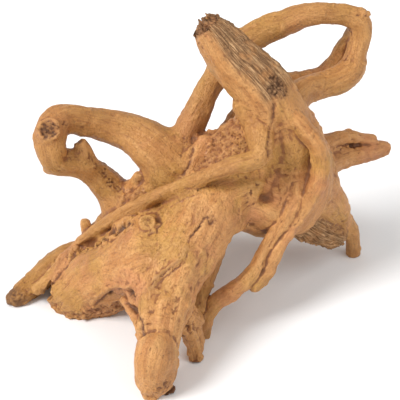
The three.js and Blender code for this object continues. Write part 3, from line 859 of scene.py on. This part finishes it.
def finishRoot(piece):
    makeActive(piece)
    piece.data.calc_loop_triangles()
    triangles = len(piece.data.loop_triangles)
    modifier = piece.modifiers.new("thin out", "DECIMATE")
    modifier.ratio = min(1.0, sculpt["mostTriangles"] / triangles)
    bpy.ops.object.modifier_apply(modifier=modifier.name)
    bpy.ops.object.shade_smooth()
    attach(piece, "root")
    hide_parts("dry_root")
    print("root finished:", len(piece.data.polygons), "faces")

woodLook = {
    "honey": (0.52, 0.222, 0.064),  # the smooth, blasted wood
    "pale": (0.68, 0.345, 0.12),
    "olive": (0.49, 0.255, 0.056),
    "rosy": (0.52, 0.20, 0.08),
    "golden": (0.38, 0.173, 0.034),
    "tan": (0.27, 0.098, 0.03),
    "barkBrown": (0.54, 0.30, 0.135),
    "barkPale": (0.74, 0.49, 0.26),
    "barkDark": (0.22, 0.11, 0.048),
    # darkest brown: rot specks and rotten ends, and also painted shade in the deepest hollows and creases
    "rotAndShadeDark": (0.115, 0.05, 0.024),
    "roughness": 0.44,
    "barkRoughness": 0.85,
    "bumpStrength": 0.8,
    "bumpDepth": 0.0015,  # m
}


def nodeOf(tree, kind, **settings):
    node = tree.nodes.new(kind)
    for name, value in settings.items():
        setattr(node, name, value)
    return node


def connect(tree, fromNode, fromSocket, toNode, toSocket):
    tree.links.new(fromNode.outputs[fromSocket], toNode.inputs[toSocket])


def grainGroup():
    # long streaks that follow the limbs: a share from 0 to 1
    tree = bpy.data.node_groups.new("grain streaks", "ShaderNodeTree")
    for name, kind, value in (("Place", "NodeSocketVector", None), ("Along", "NodeSocketFloat", 60.0),
                              ("Across", "NodeSocketFloat", 600.0), ("Contrast", "NodeSocketFloat", 1.0)):
        socket = tree.interface.new_socket(name, in_out="INPUT", socket_type=kind)
        if value is not None:
            socket.default_value = value
    tree.interface.new_socket("Streaks", in_out="OUTPUT", socket_type="NodeSocketFloat")
    inside, outside = tree.nodes.new("NodeGroupInput"), tree.nodes.new("NodeGroupOutput")
    scale = nodeOf(tree, "ShaderNodeCombineXYZ")
    connect(tree, inside, "Along", scale, "X")
    connect(tree, inside, "Across", scale, "Y")
    connect(tree, inside, "Across", scale, "Z")
    stretched = nodeOf(tree, "ShaderNodeVectorMath", operation="MULTIPLY")
    connect(tree, inside, "Place", stretched, 0)
    connect(tree, scale, "Vector", stretched, 1)
    streaks = nodeOf(tree, "ShaderNodeTexNoise", noise_dimensions="3D")
    streaks.inputs["Scale"].default_value = 1.0
    streaks.inputs["Detail"].default_value = 5.0
    streaks.inputs["Roughness"].default_value = 0.62
    streaks.inputs["Distortion"].default_value = 0.35
    connect(tree, stretched, "Vector", streaks, "Vector")
    centred = nodeOf(tree, "ShaderNodeMath", operation="SUBTRACT")
    centred.inputs[1].default_value = 0.5
    connect(tree, streaks, "Fac", centred, 0)
    strong = nodeOf(tree, "ShaderNodeMath", operation="MULTIPLY")
    connect(tree, centred, "Value", strong, 0)
    connect(tree, inside, "Contrast", strong, 1)
    back = nodeOf(tree, "ShaderNodeMath", operation="ADD", use_clamp=True)
    back.inputs[1].default_value = 0.5
    connect(tree, strong, "Value", back, 0)
    connect(tree, back, "Value", outside, "Streaks")
    return tree


def specksGroup():
    # scattered spots, such as pits and specks of rot: a mask from 0 to 1
    tree = bpy.data.node_groups.new("scattered specks", "ShaderNodeTree")
    for name, kind, value in (("Place", "NodeSocketVector", None), ("Scale", "NodeSocketFloat", 300.0),
                              ("Spread", "NodeSocketFloat", 0.6), ("Softness", "NodeSocketFloat", 0.08)):
        socket = tree.interface.new_socket(name, in_out="INPUT", socket_type=kind)
        if value is not None:
            socket.default_value = value
    tree.interface.new_socket("Specks", in_out="OUTPUT", socket_type="NodeSocketFloat")
    inside, outside = tree.nodes.new("NodeGroupInput"), tree.nodes.new("NodeGroupOutput")
    spots = nodeOf(tree, "ShaderNodeTexNoise", noise_dimensions="3D")
    spots.inputs["Detail"].default_value = 3.0
    spots.inputs["Roughness"].default_value = 0.55
    connect(tree, inside, "Place", spots, "Vector")
    connect(tree, inside, "Scale", spots, "Scale")
    top = nodeOf(tree, "ShaderNodeMath", operation="ADD")
    connect(tree, inside, "Spread", top, 0)
    connect(tree, inside, "Softness", top, 1)
    mask = nodeOf(tree, "ShaderNodeMapRange", interpolation_type="SMOOTHSTEP")
    connect(tree, spots, "Fac", mask, "Value")
    connect(tree, inside, "Spread", mask, "From Min")
    connect(tree, top, "Value", mask, "From Max")
    connect(tree, mask, "Result", outside, "Specks")
    return tree


def mixColours(tree, share, first, second):
    # first and second are colours or (node, socket)
    node = nodeOf(tree, "ShaderNodeMix", data_type="RGBA")
    for place, value in ((6, first), (7, second)):
        if hasattr(value[0], "outputs"):
            tree.links.new(value[0].outputs[value[1]], node.inputs[place])
        else:
            node.inputs[place].default_value = (*value, 1)
    if isinstance(share, (int, float)):
        node.inputs[0].default_value = share
    else:
        tree.links.new(share[0].outputs[share[1]], node.inputs[0])
    return node, 2


def shareOf(tree, value, low, high, bottom=0.0, top=1.0):
    # maps a value's low to high on to bottom to top
    node = nodeOf(tree, "ShaderNodeMapRange", interpolation_type="SMOOTHSTEP")
    tree.links.new(value[0].outputs[value[1]], node.inputs["Value"])
    for name, number in (("From Min", low), ("From Max", high), ("To Min", bottom), ("To Max", top)):
        node.inputs[name].default_value = number
    return node, "Result"


def combine(tree, operation, first, second, clamp=True):
    node = nodeOf(tree, "ShaderNodeMath", operation=operation, use_clamp=clamp)
    for place, value in ((0, first), (1, second)):
        if isinstance(value, (int, float)):
            node.inputs[place].default_value = value
        else:
            tree.links.new(value[0].outputs[value[1]], node.inputs[place])
    return node, "Value"


def calmAt(tree, seam, streaks):
    # streaks fade to their mean where two limbs' grain meets
    node = nodeOf(tree, "ShaderNodeMix", data_type="FLOAT")
    tree.links.new(seam[0].outputs[seam[1]], node.inputs[0])
    tree.links.new(streaks[0].outputs[streaks[1]], node.inputs[2])
    node.inputs[3].default_value = 0.5
    return node, 0


def useGroup(tree, group, place, **values):
    node = nodeOf(tree, "ShaderNodeGroup", node_tree=group)
    tree.links.new(place[0].outputs[place[1]], node.inputs["Place"])
    for name, value in values.items():
        node.inputs[name].default_value = value
    return node


def blastedWood():
    material = bpy.data.materials.new("blasted wood")
    material.use_nodes = True
    tree = material.node_tree
    shader = tree.nodes["Principled BSDF"]
    look = woodLook
    objectPlace = (nodeOf(tree, "ShaderNodeTexCoord"), "Object")
    grainPlace = (nodeOf(tree, "ShaderNodeAttribute", attribute_name="grainPlace"), "Vector")
    masks = {name: (nodeOf(tree, "ShaderNodeAttribute", attribute_name=name), "Fac")
             for name in ("fibrous", "pitted", "golden", "dark", "hollow", "seam")}
    grain, specks = grainGroup(), specksGroup()
    broad = (useGroup(tree, grain, grainPlace, Along=22.0, Across=120.0, Contrast=1.7), "Streaks")
    fine = (useGroup(tree, grain, grainPlace, Along=110.0, Across=900.0, Contrast=1.8), "Streaks")
    broad, fine = calmAt(tree, masks["seam"], broad), calmAt(tree, masks["seam"], fine)
    blotches = (useGroup(tree, specks, objectPlace, Scale=26.0, Spread=0.4, Softness=0.25), "Specks")
    patches = (useGroup(tree, specks, objectPlace, Scale=75.0, Spread=0.47, Softness=0.2), "Specks")
    pits = (useGroup(tree, specks, objectPlace, Scale=330.0, Spread=0.64, Softness=0.06), "Specks")
    colour = mixColours(tree, shareOf(tree, broad, 0.25, 0.8), look["honey"], look["pale"])
    yellowed = (useGroup(tree, specks, objectPlace, Scale=15.0, Spread=0.46, Softness=0.14), "Specks")
    colour = mixColours(tree, combine(tree, "MULTIPLY", yellowed, 0.75), colour, look["olive"])
    reddened = (useGroup(tree, specks, objectPlace, Scale=19.0, Spread=0.52, Softness=0.12), "Specks")
    colour = mixColours(tree, combine(tree, "MULTIPLY", reddened, 0.7), colour, look["rosy"])
    colour = mixColours(tree, combine(tree, "MULTIPLY", blotches, 0.32), colour, look["tan"])
    colour = mixColours(tree, combine(tree, "MULTIPLY", patches, 0.22), colour, look["pale"])
    colour = mixColours(tree, combine(tree, "MULTIPLY", masks["golden"], 0.55), colour, look["golden"])
    middling = (useGroup(tree, grain, grainPlace, Along=38.0, Across=300.0, Contrast=2.2), "Streaks")
    middling = calmAt(tree, masks["seam"], middling)
    colour = mixColours(tree, shareOf(tree, middling, 0.42, 0.1, 0.0, 0.5), colour, look["tan"])
    colour = mixColours(tree, shareOf(tree, middling, 0.6, 0.95, 0.0, 0.3), colour, look["pale"])
    lines = shareOf(tree, fine, 0.42, 0.12, 0.0, 0.5)
    colour = mixColours(tree, lines, colour, look["tan"])
    lit = shareOf(tree, fine, 0.6, 0.9, 0.0, 0.4)
    colour = mixColours(tree, lit, colour, look["pale"])
    dust = (useGroup(tree, specks, objectPlace, Scale=520.0, Spread=0.5, Softness=0.12), "Specks")
    colour = mixColours(tree, combine(tree, "MULTIPLY", dust, 0.22), colour, look["tan"])
    colour = mixColours(tree, combine(tree, "MULTIPLY", masks["pitted"], 0.42), colour, look["tan"])
    # painted shade: concave creases darkened towards tan, where the shade falls
    paintedCreaseShade = shareOf(tree, masks["hollow"], 0.53, 0.8, 0.0, 0.9)
    colour = mixColours(tree, paintedCreaseShade, colour, look["tan"])
    # painted highlight: convex ridges lightened towards pale, where the light catches them
    paintedRidgeHighlight = shareOf(tree, masks["hollow"], 0.42, 0.1, 0.0, 0.35)
    colour = mixColours(tree, paintedRidgeHighlight, colour, look["pale"])
    barkStreaks = (useGroup(tree, grain, grainPlace, Along=55.0, Across=850.0, Contrast=2.2), "Streaks")
    bark = mixColours(tree, shareOf(tree, barkStreaks, 0.3, 0.75), look["barkDark"], look["barkBrown"])
    bark = mixColours(tree, shareOf(tree, barkStreaks, 0.6, 0.95, 0.0, 0.8), bark, look["barkPale"])
    bark = mixColours(tree, combine(tree, "MULTIPLY", patches, 0.4), bark, look["honey"])
    colour = mixColours(tree, masks["fibrous"], colour, bark)
    spotted = combine(tree, "MULTIPLY", pits, 0.25)
    colour = mixColours(tree, spotted, colour, look["rotAndShadeDark"])
    # painted shade: the deepest hollows darkened to the darkest brown
    paintedDeepShade = shareOf(tree, masks["hollow"], 0.8, 1.0, 0.0, 0.42)
    colour = mixColours(tree, paintedDeepShade, colour, look["rotAndShadeDark"])
    # darker marks: rot, torn ends and stain, and painted shade in dents and creases
    colour = mixColours(tree, masks["dark"], colour, look["rotAndShadeDark"])
    tree.links.new(colour[0].outputs[colour[1]], shader.inputs["Base Color"])
    shine = shareOf(tree, masks["fibrous"], 0.0, 1.0, look["roughness"], look["barkRoughness"])
    shine = combine(tree, "ADD", shine, combine(tree, "MULTIPLY", fine, 0.12))
    tree.links.new(shine[0].outputs[shine[1]], shader.inputs["Roughness"])
    shader.inputs["Specular IOR Level"].default_value = 0.42
    height = combine(tree, "ADD", fine, middling, False)
    height = combine(tree, "ADD", combine(tree, "MULTIPLY", height, 0.5, False),
                     combine(tree, "MULTIPLY", barkStreaks, masks["fibrous"], False), False)
    height = combine(tree, "SUBTRACT", height, combine(tree, "MULTIPLY", pits, 0.7, False), False)
    height = combine(tree, "SUBTRACT", height, combine(tree, "MULTIPLY", dust, 0.3, False), False)
    bump = nodeOf(tree, "ShaderNodeBump")
    bump.inputs["Strength"].default_value = look["bumpStrength"]
    bump.inputs["Distance"].default_value = look["bumpDepth"]
    tree.links.new(height[0].outputs[height[1]], bump.inputs["Height"])
    connect(tree, bump, "Normal", shader, "Normal")
    return material


studio = {
    "floorSize": 30.0,
    "lookAt": (-0.003, -0.009, 0.130),
    "distance": 1.333,
    "elevation": 35.0,  # degrees above the floor
    "lens": 120.0,
    "keyStrength": 3.1,
    "keyAngle": 28.0,  # degrees across, which softens its shadows
    "fillPower": 11.0,
    "skyStrength": 0.56,
}


def paleFloor():
    deselectAll()
    bpy.ops.mesh.primitive_plane_add(size=studio["floorSize"], location=(0, 0, 0))
    floor = bpy.context.active_object
    floor.name = "paleFloor"
    material = bpy.data.materials.new("pale floor")
    material.use_nodes = True
    shader = material.node_tree.nodes["Principled BSDF"]
    shader.inputs["Base Color"].default_value = (0.9, 0.9, 0.9, 1)
    shader.inputs["Roughness"].default_value = 0.9
    shader.inputs["Specular IOR Level"].default_value = 0.1
    floor.data.materials.append(material)


def softLight(name, place, size, power, colour=(1, 1, 1)):
    light = bpy.data.lights.new(name, "AREA")
    light.shape = "DISK"
    light.size = size
    light.energy = power
    light.color = colour
    lamp = bpy.data.objects.new(name, light)
    bpy.context.scene.collection.objects.link(lamp)
    lamp.location = place
    lamp.rotation_euler = (Vector(studio["lookAt"]) - Vector(place)).to_track_quat("-Z", "Y").to_euler()


def softSun(name, place, angle, strength):
    light = bpy.data.lights.new(name, "SUN")
    light.angle = math.radians(angle)
    light.energy = strength
    lamp = bpy.data.objects.new(name, light)
    bpy.context.scene.collection.objects.link(lamp)
    lamp.rotation_euler = (Vector(studio["lookAt"]) - Vector(place)).to_track_quat("-Z", "Y").to_euler()


def setStudio():
    paleFloor()
    softSun("keyLight", (-1.5, -0.75, 1.85), studio["keyAngle"], studio["keyStrength"])
    softLight("fillLight", (1.35, -0.55, 1.5), 1.6, studio["fillPower"])
    bpy.context.scene.view_settings.view_transform = "Standard"
    world = bpy.data.worlds.new("softSky")
    bpy.context.scene.world = world
    world.use_nodes = True
    world.node_tree.nodes["Background"].inputs["Color"].default_value = (1, 1, 1, 1)
    world.node_tree.nodes["Background"].inputs["Strength"].default_value = studio["skyStrength"]
    lens = bpy.data.cameras.new("camera")
    lens.lens = studio["lens"]
    lens.sensor_width = 36.0
    lens.clip_end = 20
    camera = bpy.data.objects.new("camera", lens)
    bpy.context.scene.collection.objects.link(camera)
    tilt = math.radians(studio["elevation"])
    away = Vector((0, -math.cos(tilt), math.sin(tilt))) * studio["distance"]
    camera.location = Vector(studio["lookAt"]) + away
    camera.rotation_euler = (-away).to_track_quat("-Z", "Y").to_euler()
    bpy.context.scene.camera = camera
    print("studio set")


setStudio()
root = makeRoot()
gnarl(root)
root.data.materials.clear()
root.data.materials.append(blastedWood())
finishRoot(root)

bpy.context.view_layer.update()
